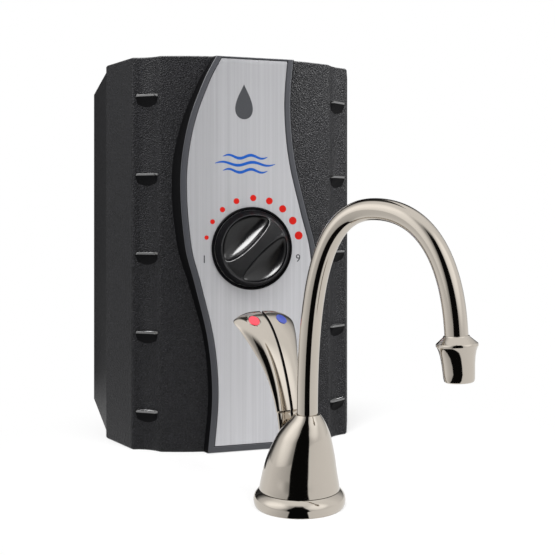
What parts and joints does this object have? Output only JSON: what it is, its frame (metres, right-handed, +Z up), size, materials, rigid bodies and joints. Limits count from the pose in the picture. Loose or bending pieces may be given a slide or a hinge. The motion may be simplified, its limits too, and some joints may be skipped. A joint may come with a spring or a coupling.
{
  "type": "instant hot water dispenser",
  "caption": "Instant hot water dispenser: an under-sink tank case with a dial on an S-shaped panel, and a swan-neck tap with hot and cold petal levers.",
  "frame": {"origin": "centre of the tank case's base, on the level that the tank and the tap both stand on", "axes": "+Z up; -Y is the tank's front, with the dial; +X is to the right seen from the front"},
  "size_m": [0.2035, 0.4387, 0.309],
  "materials": {
    "grained_black_plastic": "fine moulded grain, black",
    "smooth_dark_plastic": "smooth satin, dark grey",
    "gloss_black_plastic": "gloss black",
    "brushed_plate": "brushed lengthwise, clear anodised",
    "polished_nickel": "polished warm nickel plate",
    "red_enamel": "semi-gloss red",
    "blue_enamel": "semi-gloss blue",
    "brass": "machined",
    "stainless_steel": "satin stainless",
    "copper": "drawn copper",
    "white_foam": "closed-cell foam, white",
    "natural_nylon": "natural nylon",
    "black_rubber": "matt black"
  },
  "bodies": {
    "units": {"base_bell": "polished_nickel", "base_flange": "polished_nickel", "base_gasket": "black_rubber", "bracket_screw_1": "stainless_steel", "bracket_screw_2": "stainless_steel", "case_screw_1": "stainless_steel", "case_screw_2": "stainless_steel", "case_screw_3": "stainless_steel", "case_screw_4": "stainless_steel", "cold_cartridge": "natural_nylon", "cold_inlet_stub": "brass", "dial_bezel": "gloss_black_plastic", "drain_plug": "brass", "drain_spout": "brass", "element_flange": "brass", "element_gasket": "black_rubber", "face_plate": "brushed_plate", "flange_screw_1": "stainless_steel", "flange_screw_2": "stainless_steel", "flange_screw_3": "stainless_steel", "flange_screw_4": "stainless_steel", "foam_left": "white_foam", "foam_right": "white_foam", "front_shell": "grained_black_plastic", "gland_nut": "gloss_black_plastic", "heating_element": "stainless_steel", "hot_cartridge": "natural_nylon", "hot_outlet_stub": "brass", "hot_spring": "stainless_steel", "lever_pin": "stainless_steel", "panel_frame": "smooth_dark_plastic", "port_block": "natural_nylon", "port_collar": "smooth_dark_plastic", "power_gland": "gloss_black_plastic", "rear_shell": "grained_black_plastic", "sensing_bulb": "copper", "spout_bushing": "natural_nylon", "spout_seal": "black_rubber", "tank_cradle": "natural_nylon", "terminal_block": "natural_nylon", "thermal_cutout": "natural_nylon", "thermostat_body": "natural_nylon", "thermostat_bracket": "stainless_steel", "valve_body": "brass", "vent_stub": "brass", "water_tank": "stainless_steel"},
    "spout": {"spout_tube": "polished_nickel", "spout_nozzle": "polished_nickel", "flow_straightener": "natural_nylon"},
    "hot_petal": {"hot_lever": "polished_nickel", "hot_marker": "red_enamel"},
    "cold_petal": {"cold_lever": "polished_nickel", "cold_marker": "blue_enamel"},
    "hot_valve_plunger": {"hot_plunger": "brass"},
    "cold_valve_plunger": {"cold_plunger": "brass"},
    "knob": {"thermostat_knob": "gloss_black_plastic", "thermostat_shaft": "stainless_steel"}
  },
  "joints": [
    {"name": "spout_swivel", "type": "hinge", "parent": "units", "child": "spout", "pos_m": [-0.00024, -0.22774, 0.05], "axis": [0, 0, 1], "continuous": true},
    {"name": "hot_lever_tilt", "type": "hinge", "parent": "units", "child": "hot_petal", "pos_m": [-0.00338, -0.21502, 0.03], "axis": [-0.9707, -0.2402, 0], "range_deg": [0, 18], "stiffness_Nm_per_rad": 0.3, "springref_deg": -9.74},
    {"name": "cold_lever_tilt", "type": "hinge", "parent": "units", "child": "cold_petal", "pos_m": [-0.00338, -0.21502, 0.03], "axis": [-0.9707, -0.2402, 0], "range_deg": [0, 18]},
    {"name": "hot_plunger_slide", "type": "slide", "parent": "units", "child": "hot_valve_plunger", "axis": [0, 0, -1], "range_m": [0, 0.0023], "deforming": ["hot_spring"]},
    {"name": "cold_plunger_slide", "type": "slide", "parent": "units", "child": "cold_valve_plunger", "axis": [0, 0, -1], "range_m": [0, 0.0023]},
    {"name": "knob_turn", "type": "hinge", "parent": "units", "child": "knob", "pos_m": [0, -0.0947, 0.15], "axis": [0, -1, 0], "range_deg": [-32, 124]}
  ],
  "couplings": [
    {"joint": "hot_plunger_slide", "follows": "hot_lever_tilt", "m_per_rad": 0.007},
    {"joint": "cold_plunger_slide", "follows": "cold_lever_tilt", "m_per_rad": 0.007}
  ]
}
